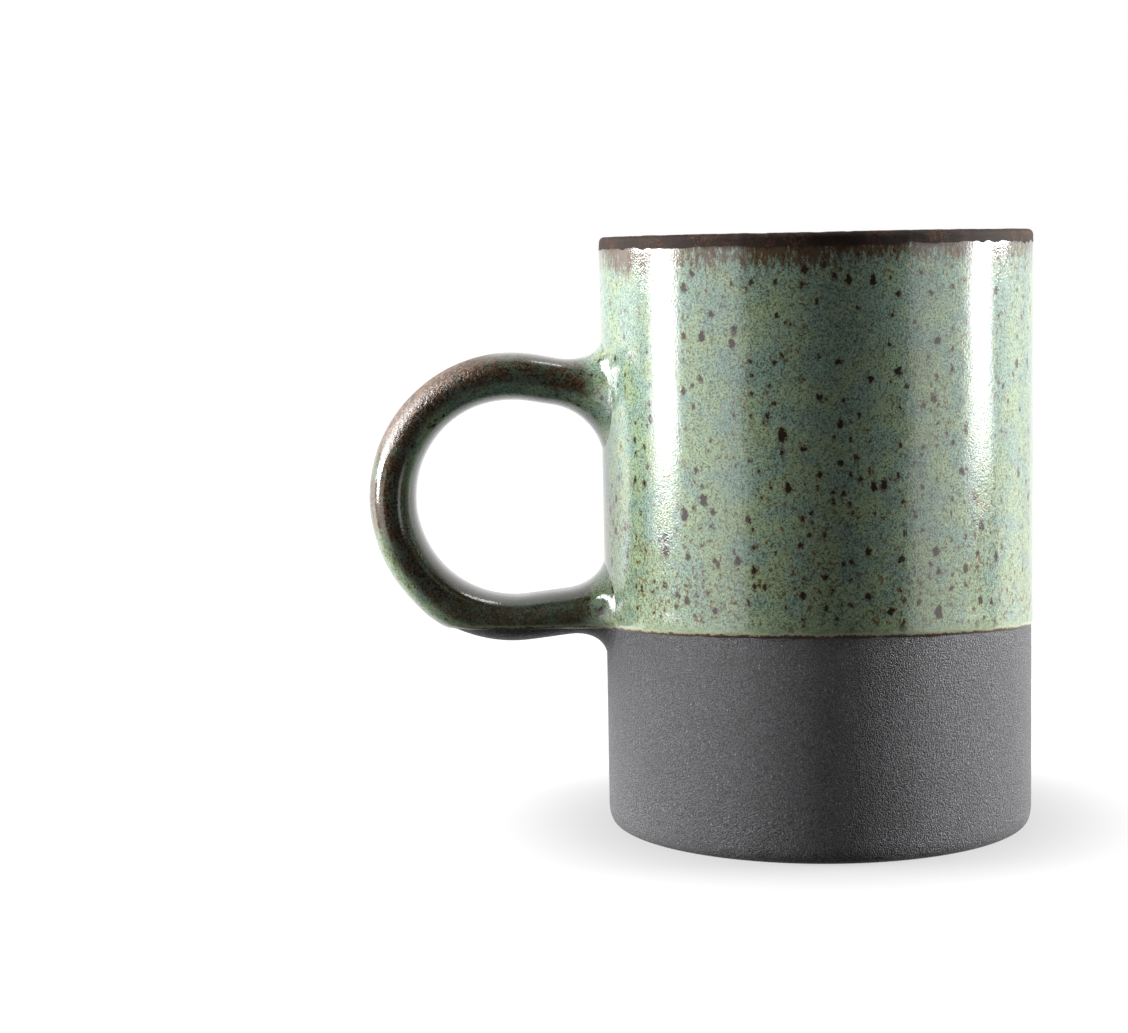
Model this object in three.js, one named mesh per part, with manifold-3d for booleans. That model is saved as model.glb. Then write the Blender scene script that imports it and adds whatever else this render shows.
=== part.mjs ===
// A handmade stoneware mug with a round strap handle, in millimetres, +Z up.
// The origin is the centre of the flat underside, on the mug's axis, and the handle points along -X.
//
// Clay pieces: a wall tube standing on a base disc, a coil smoothed into the inside corner, a strap
// bent into a ring, and a collar of clay worked in round each end of the strap where it meets the wall.
// Glaze coats: one outside the wall down to a tilted dip line, one lining the inside, one round the
// handle. The foot of the mug and the lowest part of the handle stay bare below the dip line.

import * as THREE from 'three';
import { mergeVertices } from 'three/addons/utils/BufferGeometryUtils.js';
import Module from 'manifold-3d';

// Driving dimensions of the body. Clay that is smoothed out onto other clay ends in a feather edge.
const mugHeight = 110;
const clayRadius = 39.8;
const wallThickness = 4;
const baseThickness = 6;
const footBevelWidth = 1.2;
const footBevelHeight = 3;
const coilRadius = 5;
const outerLipRadius = 1.2;
const innerLipRadius = 1.6;
const featherEdge = 0.3;

// Driving dimensions of the glaze.
const glazeThickness = 0.4;
const crestGlaze = 0.3;
const dipHeight = 36.6;
const dipSlopeX = -0.008;
const dipSlopeY = -0.087;

// Driving dimensions of the handle. "Out" is the distance from the mug's axis.
const ringOut = 57;
const ringHeight = 61.6;
const ringHalfWidth = 22.5;
const ringHalfHeight = 22.8;
const strapHalfThickness = 4.1;
const strapHalfWidth = 8.6;
const strapSquareness = 2.4;
const jointGap = 0.3;
const upperJoint = { turn: 10, collarLength: 8, inward: 8.5, outward: 5.5, sideways: 4 };
const lowerJoint = { turn: 6.5, collarLength: 6, inward: 5.5, outward: 5.5, sideways: 4 };

// How finely the round shapes are faceted.
const latheSegments = 60;
const arcSteps = 3;
const sectionPoints = 20;
const ringSteps = 17;
const collarFractions = [0, 0.1, 0.25, 0.48, 1];

const boreRadius = clayRadius - wallThickness;
const clayTop = mugHeight - crestGlaze;
const outerLipCentre = clayRadius - outerLipRadius;
const innerLipCentre = boreRadius + innerLipRadius;
const crestRadius = (outerLipCentre + innerLipCentre) / 2;
const degrees = Math.PI / 180;

const wasm = await Module();
wasm.setup();

// Matt clay and glossy glaze, each in the colour given.
function clay(color) {
  return new THREE.MeshStandardMaterial({ color, roughness: 0.92, metalness: 0 });
}

function glaze(color) {
  return new THREE.MeshStandardMaterial({ color, roughness: 0.14, metalness: 0 });
}

// A quarter ellipse of [radius, height] points about a centre, from one angle to another.
function arc(centreRadius, centreHeight, halfWidth, halfHeight, fromDegrees, toDegrees) {
  const points = [];
  for (let step = 0; step <= arcSteps; step++) {
    const angle = (fromDegrees + (toDegrees - fromDegrees) * step / arcSteps) * degrees;
    const radius = centreRadius + halfWidth * Math.cos(angle);
    points.push([radius, centreHeight + halfHeight * Math.sin(angle)]);
  }
  return points;
}

// A solid of revolution about Z, from a profile of [radius, height] points run anticlockwise.
function turned(profile) {
  const points = profile.map(([radius, height]) => new THREE.Vector2(radius, height));
  return new THREE.LatheGeometry(points, latheSegments).rotateX(Math.PI / 2);
}

function closedTurned(profile) {
  return turned([...profile, profile[0]]);
}

// The height of the dip line, where the glaze ends and bare clay begins.
function dipLine(x, y) {
  return dipHeight + dipSlopeX * x + dipSlopeY * y;
}

function outerLip(extraRadius, top) {
  const centreHeight = clayTop - outerLipRadius;
  const halfWidth = outerLipRadius + extraRadius;
  return arc(outerLipCentre, centreHeight, halfWidth, top - centreHeight, 0, 90);
}

function innerLip(extraRadius, top) {
  const centreHeight = clayTop - innerLipRadius;
  const halfWidth = innerLipRadius + extraRadius;
  return arc(innerLipCentre, centreHeight, halfWidth, top - centreHeight, 90, 180);
}

// The coil's hollow face, from its upper edge against the wall down to its edge on the base disc.
function coilFace(extra) {
  const centreRadius = boreRadius - coilRadius;
  const centreHeight = baseThickness + coilRadius;
  const halfWidth = coilRadius - featherEdge - extra;
  return arc(centreRadius, centreHeight, halfWidth, halfWidth, 0, -90);
}

function wallGeometry() {
  return closedTurned([
    [clayRadius, baseThickness],
    ...outerLip(0, clayTop),
    ...innerLip(0, clayTop),
    [boreRadius, baseThickness],
  ]);
}

function baseDiscGeometry() {
  const bevel = arc(clayRadius - footBevelWidth, footBevelHeight, footBevelWidth, footBevelHeight, -90, 0);
  return turned([[0, 0], ...bevel, [clayRadius, baseThickness], [0, baseThickness]]);
}

function floorCoilGeometry() {
  return closedTurned([
    [boreRadius - coilRadius, baseThickness],
    [boreRadius, baseThickness],
    [boreRadius, baseThickness + coilRadius],
    ...coilFace(0),
  ]);
}

function glazeInteriorGeometry() {
  return turned([
    [0, baseThickness],
    [boreRadius - coilRadius, baseThickness],
    ...coilFace(0).reverse(),
    [boreRadius, baseThickness + coilRadius],
    ...innerLip(0, clayTop).reverse(),
    [crestRadius, clayTop],
    [crestRadius, mugHeight],
    ...innerLip(glazeThickness, mugHeight),
    ...coilFace(glazeThickness),
    [0, baseThickness + featherEdge + glazeThickness],
  ]);
}

// The outside coat. Its lowest vertices are moved up or down the wall to lie on the dip line, and
// the collars of the handle come out through two openings in it.
function glazeExteriorGeometry() {
  const geometry = closedTurned([
    [clayRadius, 0],
    [clayRadius + glazeThickness, 0],
    ...outerLip(glazeThickness, mugHeight),
    [crestRadius, mugHeight],
    [crestRadius, clayTop],
    ...outerLip(0, clayTop).reverse(),
  ]);
  const position = geometry.getAttribute('position');
  for (let i = 0; i < position.count; i++) {
    const isLowest = Math.abs(position.getZ(i)) < glazeThickness;
    if (isLowest) {
      position.setZ(i, dipLine(position.getX(i), position.getY(i)));
    }
  }
  const openings = [upperJoint, lowerJoint].map(jointOpening);
  return cut(geometry, openings);
}

// A point of the strap's section, as distances along its thickness and its width. The corners are
// rounded like a superellipse, and each side can stand further out by its own amount.
function sectionPoint(index, outward, inward, sideways) {
  const angle = 2 * Math.PI * index / sectionPoints;
  const bend = (value) => Math.sign(value) * Math.abs(value) ** (2 / strapSquareness);
  const along = bend(Math.cos(angle));
  const extra = along > 0 ? outward : inward;
  return {
    thickness: (strapHalfThickness + extra) * along,
    width: (strapHalfWidth + sideways) * bend(Math.sin(angle)),
  };
}

// The strap's centre line is an arc of an ellipse, and beyond each end of it a straight arm to the wall.
function ringStation(angle) {
  const out = ringOut + ringHalfWidth * Math.cos(angle);
  const height = ringHeight + ringHalfHeight * Math.sin(angle);
  const normal = new THREE.Vector2(Math.cos(angle) / ringHalfWidth, Math.sin(angle) / ringHalfHeight);
  return { centre: new THREE.Vector2(out, height), normal: normal.normalize() };
}

// The angle round the ring at which a joint's arm leaves it.
function armAngle(joint) {
  const side = joint === upperJoint ? 1 : -1;
  return side * (90 + joint.turn) * degrees;
}

// A full ring of points across the strap at a place on the ellipse.
function strapRing(angle, growth) {
  const { centre, normal } = ringStation(angle);
  const ring = [];
  for (let i = 0; i < sectionPoints; i++) {
    const { thickness, width } = sectionPoint(i, growth, growth, growth);
    const out = centre.x + normal.x * thickness;
    ring.push(new THREE.Vector3(-out, width, centre.y + normal.y * thickness));
  }
  return ring;
}

// How far along an arm, from the ring to the wall, a line at a given offset meets the cylinder.
function reachOfWall(joint, thickness, width, wallRadius) {
  const { centre, normal } = ringStation(armAngle(joint));
  const toWall = new THREE.Vector2(-Math.abs(normal.y), Math.sign(normal.y) * normal.x);
  const wallOut = Math.sqrt(wallRadius ** 2 - width ** 2);
  const reach = (wallOut - centre.x - normal.x * thickness) / toWall.x;
  return { centre, normal, toWall, reach };
}

// A full ring of points across an arm. Fraction 0 lies on the wall's cylinder, fraction 1 at the ring.
function armRing(joint, fraction, growth, wallRadius) {
  const ring = [];
  for (let i = 0; i < sectionPoints; i++) {
    const offset = sectionPoint(i, growth.outward, growth.inward, growth.sideways);
    const arm = reachOfWall(joint, offset.thickness, offset.width, wallRadius);
    const along = arm.reach * (1 - fraction);
    const out = arm.centre.x + arm.toWall.x * along + arm.normal.x * offset.thickness;
    const height = arm.centre.y + arm.toWall.y * along + arm.normal.y * offset.thickness;
    ring.push(new THREE.Vector3(-out, offset.width, height));
  }
  return ring;
}

function evenGrowth(amount) {
  return { outward: amount, inward: amount, sideways: amount };
}

// How far a collar stands out from the strap: most at the wall, falling along a quarter ellipse.
function collarGrowth(joint, collarFraction, extra) {
  const fall = 1 - Math.sqrt(1 - (1 - collarFraction) ** 2);
  return {
    outward: joint.outward * fall + featherEdge + extra,
    inward: joint.inward * fall + featherEdge + extra,
    sideways: joint.sideways * fall + featherEdge + extra,
  };
}

// The rings of one arm, over the strap or over its collar. All rings run the same way along the
// strap: from the upper joint's wall round to the lower joint's wall.
function armRings(joint, extra, overCollar) {
  const wallRadius = clayRadius + jointGap;
  const armLength = reachOfWall(joint, 0, 0, wallRadius).reach;
  const rings = collarFractions.map((collarFraction) => {
    const fraction = collarFraction * joint.collarLength / armLength;
    const growth = overCollar ? collarGrowth(joint, collarFraction, extra) : evenGrowth(extra);
    return armRing(joint, fraction, growth, wallRadius);
  });
  return joint === upperJoint ? rings : rings.reverse();
}

function ringRings(growth) {
  const from = armAngle(upperJoint);
  const to = armAngle(lowerJoint);
  const rings = [];
  for (let step = 0; step <= ringSteps; step++) {
    rings.push(strapRing(from + (to - from) * step / ringSteps, growth));
  }
  return rings;
}

// Triangles joining each ring to the next. With no caps the last ring joins the first, and from the
// ring where the surface turns back the diagonals cross the other way, to match a neighbour's faces.
// A cap is strips across the strap's thickness, each at one place along its width, so that it can
// follow the wall.
function loft(rings, capped, turnBack = Infinity) {
  const triangles = [];
  const quad = (a, b, c, d) => triangles.push(a, b, c, a, c, d);
  const vertex = (ring, point) => (ring % rings.length) * sectionPoints + (point % sectionPoints);
  const bands = capped ? rings.length - 1 : rings.length;
  for (let r = 0; r < bands; r++) {
    for (let i = 0; i < sectionPoints; i++) {
      const corners = [vertex(r, i), vertex(r, i + 1), vertex(r + 1, i + 1), vertex(r + 1, i)];
      quad(...(r < turnBack ? corners : [...corners.slice(1), corners[0]]));
    }
  }
  const last = rings.length - 1;
  for (let step = 0; capped && step < sectionPoints / 2; step++) {
    const a = sectionPoints / 4 + step;
    const b = sectionPoints * 5 / 4 - step;
    quad(vertex(0, a + 1), vertex(0, a), vertex(0, b), vertex(0, b - 1));
    quad(vertex(last, b - 1), vertex(last, b), vertex(last, a), vertex(last, a + 1));
  }
  const positions = rings.flat().flatMap((point) => point.toArray());
  const geometry = new THREE.BufferGeometry();
  geometry.setAttribute('position', new THREE.Float32BufferAttribute(positions, 3));
  geometry.setIndex(withoutSlivers(triangles));
  geometry.computeVertexNormals();
  return geometry;
}

// Drops the triangles that use one vertex twice, which the ends of the cap strips leave.
function withoutSlivers(triangles) {
  const kept = [];
  for (let i = 0; i < triangles.length; i += 3) {
    const [a, b, c] = triangles.slice(i, i + 3);
    if (a !== b && b !== c && c !== a) {
      kept.push(a, b, c);
    }
  }
  return kept;
}

function tube(outerRings, innerRings) {
  return loft([...outerRings, ...innerRings.reverse()], false, outerRings.length);
}

function handleGeometry() {
  const rings = [
    ...armRings(upperJoint, 0, false),
    ...ringRings(0),
    ...armRings(lowerJoint, 0, false),
  ];
  return loft(rings, true);
}

function jointGeometry(joint) {
  return tube(armRings(joint, 0, true), armRings(joint, 0, false));
}

// One side of the handle's coat: over the upper collar, round the strap, and over the lower collar.
// Each collar ends in a small step down to the strap.
function coatRings(extra) {
  return [
    ...armRings(upperJoint, extra, true),
    armRings(upperJoint, extra, false).at(-1),
    ...ringRings(extra),
    armRings(lowerJoint, extra, false).at(0),
    ...armRings(lowerJoint, extra, true),
  ];
}

function glazeHandleGeometry() {
  return cut(tube(coatRings(glazeThickness), coatRings(0)), [belowDipLine()]);
}

// Everything below the dip line, as a box sheared to its tilt.
function belowDipLine() {
  const boxWidth = 300;
  const box = new THREE.BoxGeometry(boxWidth, boxWidth, boxWidth).translate(0, 0, -boxWidth / 2);
  const tilt = new THREE.Matrix4().set(
    1, 0, 0, 0,
    0, 1, 0, 0,
    dipSlopeX, dipSlopeY, 1, dipHeight,
    0, 0, 0, 1,
  );
  return box.applyMatrix4(tilt);
}

// A plug through the outside coat, a gap larger all round than the handle's coat at the wall.
function jointOpening(joint) {
  const overrun = 1;
  const growth = collarGrowth(joint, 0, glazeThickness + jointGap);
  const inside = armRing(joint, 0, growth, clayRadius - overrun);
  const outside = armRing(joint, 0, growth, clayRadius + glazeThickness + overrun);
  return loft(joint === upperJoint ? [inside, outside] : [outside, inside], true);
}

function toSolid(geometry) {
  const bare = new THREE.BufferGeometry();
  bare.setAttribute('position', geometry.getAttribute('position'));
  bare.setIndex(geometry.getIndex());
  const merged = mergeVertices(bare);
  return new wasm.Manifold(new wasm.Mesh({
    numProp: 3,
    vertProperties: merged.getAttribute('position').array,
    triVerts: new Uint32Array(merged.getIndex().array),
  }));
}

// A geometry less each of the cutting geometries.
function cut(geometry, cutters) {
  const solid = cutters.reduce((kept, cutter) => kept.subtract(toSolid(cutter)), toSolid(geometry));
  const mesh = solid.getMesh();
  const result = new THREE.BufferGeometry();
  result.setAttribute('position', new THREE.BufferAttribute(mesh.vertProperties, 3));
  result.setIndex(new THREE.BufferAttribute(mesh.triVerts, 1));
  result.computeVertexNormals();
  return result;
}

function piece(name, geometry, material) {
  const mesh = new THREE.Mesh(geometry, material);
  mesh.name = name;
  return mesh;
}

const body = new THREE.Group();
body.add(piece('wall', wallGeometry(), clay(0x4b4b4d)));
body.add(piece('base_disc', baseDiscGeometry(), clay(0x47474a)));
body.add(piece('floor_coil', floorCoilGeometry(), clay(0x504f50)));

const handle = new THREE.Group();
handle.add(piece('handle', handleGeometry(), clay(0x49484a)));
handle.add(piece('handle_joint_upper', jointGeometry(upperJoint), clay(0x4d4c4d)));
handle.add(piece('handle_joint_lower', jointGeometry(lowerJoint), clay(0x4d4c4d)));

const coats = new THREE.Group();
coats.add(piece('glaze_exterior', glazeExteriorGeometry(), glaze(0x7d9078)));
coats.add(piece('glaze_interior', glazeInteriorGeometry(), glaze(0x869a80)));
coats.add(piece('glaze_handle', glazeHandleGeometry(), glaze(0x5e5c4a)));

const mug = new THREE.Group();
mug.add(body, handle, coats);

export default mug;
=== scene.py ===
"""Looks of the stoneware mug: bare dark clay, speckled green glaze, a pale floor and soft studio light.

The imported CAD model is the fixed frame. Its sizes are read from the boxes of its nodes and worked on in
millimetres, and every mesh is turned into metres as it is made.
"""

import math

import bmesh
import bpy
import numpy as np
from mathutils import Matrix, Vector, noise


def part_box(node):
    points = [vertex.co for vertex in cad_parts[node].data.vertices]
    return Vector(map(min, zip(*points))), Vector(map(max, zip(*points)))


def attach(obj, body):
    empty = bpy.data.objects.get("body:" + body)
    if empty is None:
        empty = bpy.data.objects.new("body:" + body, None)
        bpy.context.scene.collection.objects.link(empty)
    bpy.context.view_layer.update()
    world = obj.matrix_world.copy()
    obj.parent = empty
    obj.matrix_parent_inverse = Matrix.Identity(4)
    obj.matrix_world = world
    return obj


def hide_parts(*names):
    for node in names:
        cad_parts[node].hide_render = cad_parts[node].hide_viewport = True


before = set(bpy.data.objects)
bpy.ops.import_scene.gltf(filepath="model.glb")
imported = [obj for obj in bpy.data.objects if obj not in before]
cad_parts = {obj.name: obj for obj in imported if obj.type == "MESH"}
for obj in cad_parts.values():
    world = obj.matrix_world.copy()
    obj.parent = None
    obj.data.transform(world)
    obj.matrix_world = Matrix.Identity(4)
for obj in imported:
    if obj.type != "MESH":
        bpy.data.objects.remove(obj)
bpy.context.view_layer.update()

MM = 0.001
SHARP_ANGLE = math.radians(55)


# ---------------------------------------------------------------- sizes, in millimetres, from the frame
def corners(node):
    """A node's lowest and highest corners."""
    low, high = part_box(node)
    return np.array(low) / MM, np.array(high) / MM


def highest(node):
    """A node's highest corner."""
    return corners(node)[1]


strap_low, strap_high = corners("handle")

CLAY_RADIUS = highest("wall")[0]
CLAY_TOP = highest("wall")[2]
DISC_TOP = highest("base_disc")[2]
COIL_TOP = highest("floor_coil")[2]
BORE_RADIUS = highest("floor_coil")[0]
TOP = highest("glaze_exterior")[2]
CREST_RADIUS = highest("glaze_interior")[0]

# The dip line is a plane: this height on the axis, rising towards the front and, slightly, the handle.
DIP_HEIGHT = 36.6
DIP_SLOPE = (-0.008, -0.087)

# The strap's centre line: an ellipse in the plane y = 0, and a straight arm to the wall at each end.
STRAP_HALF_THICKNESS = 4.1
STRAP_HALF_WIDTH = strap_high[1]
STRAP_SQUARENESS = 2.4
RING_HALF_WIDTH = 22.5
RING_HALF_HEIGHT = 22.8
RING_OUT = -strap_low[0] - STRAP_HALF_THICKNESS - RING_HALF_WIDTH
RING_HEIGHT = (strap_low[2] + strap_high[2]) / 2
UPPER_JOINT = {"turn": 10, "length": 9.0, "inward": 8.5, "outward": 5.5, "sideways": 4.0}
LOWER_JOINT = {"turn": 6.5, "length": 7.0, "inward": 5.5, "outward": 5.5, "sideways": 4.0}

# Points round each ring of the body's pieces and round the strap's section.
COLUMNS = 480
SECTION_POINTS = 96

# Thickness of the inside coat on the wall and on the floor.
LINING_THICKNESS = 0.4
LINING_FLOOR_THICKNESS = 0.7


# ---------------------------------------------------------------- shape helpers
def rough(points, size, seed=0.0):
    """Smooth noise from about -1 to 1 at each point, with bumps about size across."""
    flat = np.asarray(points, float).reshape(-1, 3) / size + seed
    values = [noise.noise(Vector(p)) for p in flat]
    return np.array(values).reshape(np.shape(points)[:-1])


def smooth_step(value, low, high):
    t = np.clip((np.asarray(value, float) - low) / (high - low), 0.0, 1.0)
    return t * t * (3 - 2 * t)


def hump(value, centre, half_width):
    """A smooth bump of height 1 at centre, falling to 0 at half_width to either side."""
    t = np.clip(np.abs(np.asarray(value, float) - centre) / half_width, 0, 1)
    return 0.5 + 0.5 * np.cos(math.pi * t)


def mesh_object(name, points, faces):
    mesh = bpy.data.meshes.new(name)
    mesh.from_pydata((np.asarray(points) * MM).tolist(), [], faces)
    mesh.validate()
    mesh.set_sharp_from_angle(angle=SHARP_ANGLE)
    made = bpy.data.objects.new(name, mesh)
    bpy.context.scene.collection.objects.link(made)
    return made


def grid_faces(rows, columns, wrap_rows):
    """Quads over a grid whose columns close on themselves, and its rows too if wrap_rows."""
    faces = []
    for r in range(rows if wrap_rows else rows - 1):
        below, above = r * columns, ((r + 1) % rows) * columns
        for c in range(columns):
            d = (c + 1) % columns
            faces.append((below + c, below + d, above + d, above + c))
    return faces


def ring_solid(name, grid):
    """A closed solid from a grid of points whose rows and columns both close on themselves."""
    rows, columns = grid.shape[:2]
    return mesh_object(name, grid.reshape(-1, 3), grid_faces(rows, columns, True))


def capped_solid(name, grid):
    """A closed solid from a grid of rings, with a fan of triangles over each end."""
    rows, columns = grid.shape[:2]
    faces = grid_faces(rows, columns, False)
    first, last = rows * columns, rows * columns + 1
    start = (rows - 1) * columns
    for c in range(columns):
        d = (c + 1) % columns
        faces.append((first, d, c))
        faces.append((last, start + c, start + d))
    points = np.vstack([grid.reshape(-1, 3), grid[0].mean(0), grid[-1].mean(0)])
    return mesh_object(name, points, faces)


def grid_normals(grid):
    """Unit normals of an open grid whose columns close on themselves."""
    across = np.roll(grid, -1, axis=1) - np.roll(grid, 1, axis=1)
    along = np.gradient(grid, axis=0)
    normal = np.cross(across, along)
    return normal / np.linalg.norm(normal, axis=-1, keepdims=True)


def turn_grid(profile):
    """Points on rings about Z, from an array of (radius, height) that may differ round the ring."""
    angle = np.linspace(0, 2 * math.pi, COLUMNS, endpoint=False)
    radius, height = profile[..., 0], profile[..., 1]
    if profile.ndim == 2:
        radius = np.repeat(radius[:, None], COLUMNS, axis=1)
        height = np.repeat(height[:, None], COLUMNS, axis=1)
    return np.stack([radius * np.cos(angle), radius * np.sin(angle), height], axis=-1)


def arc(centre, half_width, half_height, start, end, steps):
    """Points of a quarter ellipse as (radius, height), at angles in degrees."""
    a = np.radians(np.linspace(start, end, steps))
    return [(centre[0] + half_width * math.cos(t), centre[1] + half_height * math.sin(t)) for t in a]


def line(start, end, spacing):
    """Points from start up to, and without, end."""
    start, end = np.array(start, float), np.array(end, float)
    steps = max(1, round(float(np.linalg.norm(end - start)) / spacing))
    return [tuple(start + (end - start) * k / steps) for k in range(steps)]


# ---------------------------------------------------------------- surfaces shared by the pieces
def above_dip(points):
    """Height above the wavering edge of the glaze, in millimetres."""
    x, y, z = points[..., 0], points[..., 1], points[..., 2]
    plane = DIP_HEIGHT + DIP_SLOPE[0] * x + DIP_SLOPE[1] * y
    on_surface = points.copy()
    on_surface[..., 2] = plane
    waver = 0.22 * rough(on_surface, 5.0, 3.1) + 0.12 * rough(on_surface, 1.3, 8.7)
    return z - plane + waver


def hand_wobble(points):
    """Slow unevenness of a wall made by hand, at most about 0.1 mm."""
    return 0.05 * rough(points, 26.0, 1.7) + 0.03 * rough(points, 9.0, 4.9) - 0.03


def outward(points):
    """Unit vectors away from the mug's axis."""
    flat = points * np.array([1.0, 1.0, 0.0])
    return flat / np.maximum(np.linalg.norm(flat, axis=-1, keepdims=True), 1e-9)


def clay_grain(points):
    """The sandy relief of the bare clay, coarser than what the material's bump adds."""
    stretched = points * np.array([1.0, 1.0, 0.6])
    return 0.012 * rough(stretched, 1.5, 6.3) + 0.010 * rough(stretched, 0.8, 2.9) - 0.011


def lip_grain(points):
    """Tiny bumps on the dry band at the lip, none further down than the band reaches."""
    band = smooth_step(TOP - points[..., 2], 2.6, 1.2)
    bumps = 0.07 * rough(points, 0.9, 5.2) + 0.06 * rough(points, 2.1, 7.4) - 0.05
    return band * bumps


def lip_height(points):
    """How far the lip dips below its highest level, a quarter of a millimetre at most."""
    return -0.12 + 0.12 * rough(outward(points) * CLAY_RADIUS, 30.0, 9.3)


# ---------------------------------------------------------------- the body's clay
def make_wall():
    """The clay tube: its bare part is finely meshed, and the rest is under the glaze."""
    bare_top = DIP_HEIGHT + 9
    hidden = 0.05
    profile = line((CLAY_RADIUS, DISC_TOP), (CLAY_RADIUS, bare_top), 0.5)
    profile += line((CLAY_RADIUS, bare_top), (CLAY_RADIUS - hidden, CLAY_TOP - 3), 6)
    profile += arc((CLAY_RADIUS - 1.6, CLAY_TOP - 2.4), 1.5, 1.9, 0, 90, 6)
    profile += arc((BORE_RADIUS + 1.8, CLAY_TOP - 2.4), 1.6, 1.9, 90, 180, 6)
    profile += line((BORE_RADIUS + hidden, CLAY_TOP - 3), (BORE_RADIUS + hidden, DISC_TOP), 8)
    profile += line((BORE_RADIUS + hidden, DISC_TOP), (CLAY_RADIUS, DISC_TOP), 1)
    grid = turn_grid(np.array(profile))
    shown = (np.linalg.norm(grid[..., :2], axis=-1) > CLAY_RADIUS - 0.01)[..., None]
    relief = (hand_wobble(grid) + clay_grain(grid))[..., None]
    grid += np.where(shown, relief * outward(grid), 0.0)
    return ring_solid("wall_clay", grid)


def make_base():
    """The disc under the wall: a short upright edge, a rounded bevel and a flat underside."""
    bevel_width = CLAY_RADIUS - 38.6
    bevel_height = 3.0
    bevel_centre = (CLAY_RADIUS - bevel_width, bevel_height)
    profile = [(r, DISC_TOP) for r in np.linspace(1, CLAY_RADIUS - 1, 6)]
    profile += line((CLAY_RADIUS, DISC_TOP), (CLAY_RADIUS, bevel_height), 0.5)
    profile += arc(bevel_centre, bevel_width, bevel_height, 0, -90, 12)
    profile += line((bevel_centre[0] - 0.6, 0), (0.6, 0), 0.7)
    grid = turn_grid(np.array(profile[::-1]))
    upright = smooth_step(grid[..., 2], 0.2, 2.0)[..., None]
    rim = (np.linalg.norm(grid[..., :2], axis=-1) > CLAY_RADIUS - bevel_width)[..., None]
    relief = (hand_wobble(grid) + clay_grain(grid))[..., None]
    grid += np.where(rim, upright * relief * outward(grid), 0.0)
    under = (grid[..., 2] < 0.01) & ~rim[..., 0]
    grid[..., 2] += np.where(under, np.abs(clay_grain(grid)) * 0.8, 0.0)
    return capped_solid("base_disc_clay", grid)


# ---------------------------------------------------------------- the body's glaze
def coat_thickness(above):
    """Thickness of the glaze by height above its edge: a rounded edge, a thick roll, then even."""
    edge = 0.27 * (1 - np.exp(-np.maximum(above, 0) / 0.3))
    roll = 0.09 * hump(above, 1.5, 3.4)
    tucked = 0.25 * smooth_step(above, 0.0, -0.4)
    return edge + roll * smooth_step(above, 0.0, 0.8) - tucked


# Heights above the dip line of the rows at the coat's lower edge, where its shape changes fastest.
EDGE_STEPS = (-0.5, -0.25, -0.08, 0.0, 0.08, 0.18, 0.3, 0.5, 0.8, 1.1, 1.5, 2.0, 2.6, 3.2, 4.0, 4.8)
LIP_ROUNDING = 1.1


def coat_rows(foot, dip):
    """Rows up the wall from the coat's edge to the lip, and the number of the one where it turns dry."""
    heights = [dip + above for above in EDGE_STEPS]
    first = dip + 5.6
    band = TOP - dry_depth(foot)
    heights += [first + (band - first) * share for share in np.linspace(0, 1, 92)]
    dry_row = len(heights) - 1
    heights += [band + (TOP - LIP_ROUNDING - band) * share for share in (0.33, 0.67, 1.0)]
    rows = [np.stack([np.full(COLUMNS, CLAY_RADIUS), height], axis=-1) for height in heights]
    return turn_grid(np.array(rows)), dry_row


def coat_lip():
    """The lip's rounded outer half, up to its crest."""
    centre = (CLAY_RADIUS + coat_thickness(np.array(50.0)) - LIP_ROUNDING, TOP - LIP_ROUNDING)
    profile = arc(centre, LIP_ROUNDING, LIP_ROUNDING, 0, 90, 12)[1:]
    profile += [(CREST_RADIUS + 0.5, TOP), (CREST_RADIUS, TOP)]
    lip = turn_grid(np.array(profile))
    wobble = hand_wobble(lip) * smooth_step(TOP - lip[..., 2], 0.0, 1.5)
    return lip + wobble[..., None] * outward(lip)


def make_outer_glaze():
    """The outside coat, from a rounded edge on the dip line up to the crest of the lip."""
    foot = turn_grid(np.array([(CLAY_RADIUS, DIP_HEIGHT)]))[0]
    dip = foot[:, 2] - above_dip(foot)
    wall, dry_row = coat_rows(foot, dip)
    above = wall[..., 2] - dip
    wall += (coat_thickness(above) + hand_wobble(wall))[..., None] * outward(wall)
    shown = lip_relief(np.concatenate([wall, coat_lip()]))
    back = turn_grid(np.array([(CREST_RADIUS, TOP - 0.7), (CLAY_RADIUS - 0.9, TOP - 1.4),
                               (CLAY_RADIUS - 0.35, TOP - 3), (CLAY_RADIUS - 0.35, DIP_HEIGHT + 6)]))
    back = np.concatenate([back, (shown[0] - 0.2 * outward(shown[0]))[None]])
    made = ring_solid("glaze_outside", np.concatenate([shown, back]))
    mark_rows(made, dry_row, len(shown))
    return made


def dry_depth(points):
    """How far below the lip's top the dry band reaches, along a wavering line."""
    return 2.35 + 0.40 * rough(points, 1.7, 33.0) + 0.35 * rough(points, 7.0, 35.5)


def mark_rows(obj, first, last):
    """Gives the faces between two rows of a grid the object's second material."""
    for face in obj.data.polygons:
        if first * COLUMNS <= face.index < last * COLUMNS:
            face.material_index = 1


def lip_relief(grid):
    """Roughens the dry band at the lip and lets the lip rise and fall a little round the mug."""
    near_top = smooth_step(grid[..., 2], TOP - 12, TOP - 1)
    grid[..., 2] += near_top * lip_height(grid)
    push = lip_grain(grid)
    grid += (push * (1 - smooth_step(grid[..., 2], TOP - 0.6, TOP)))[..., None] * outward(grid)
    grid[..., 2] += push * smooth_step(grid[..., 2], TOP - 0.9, TOP - 0.3)
    return grid


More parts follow.
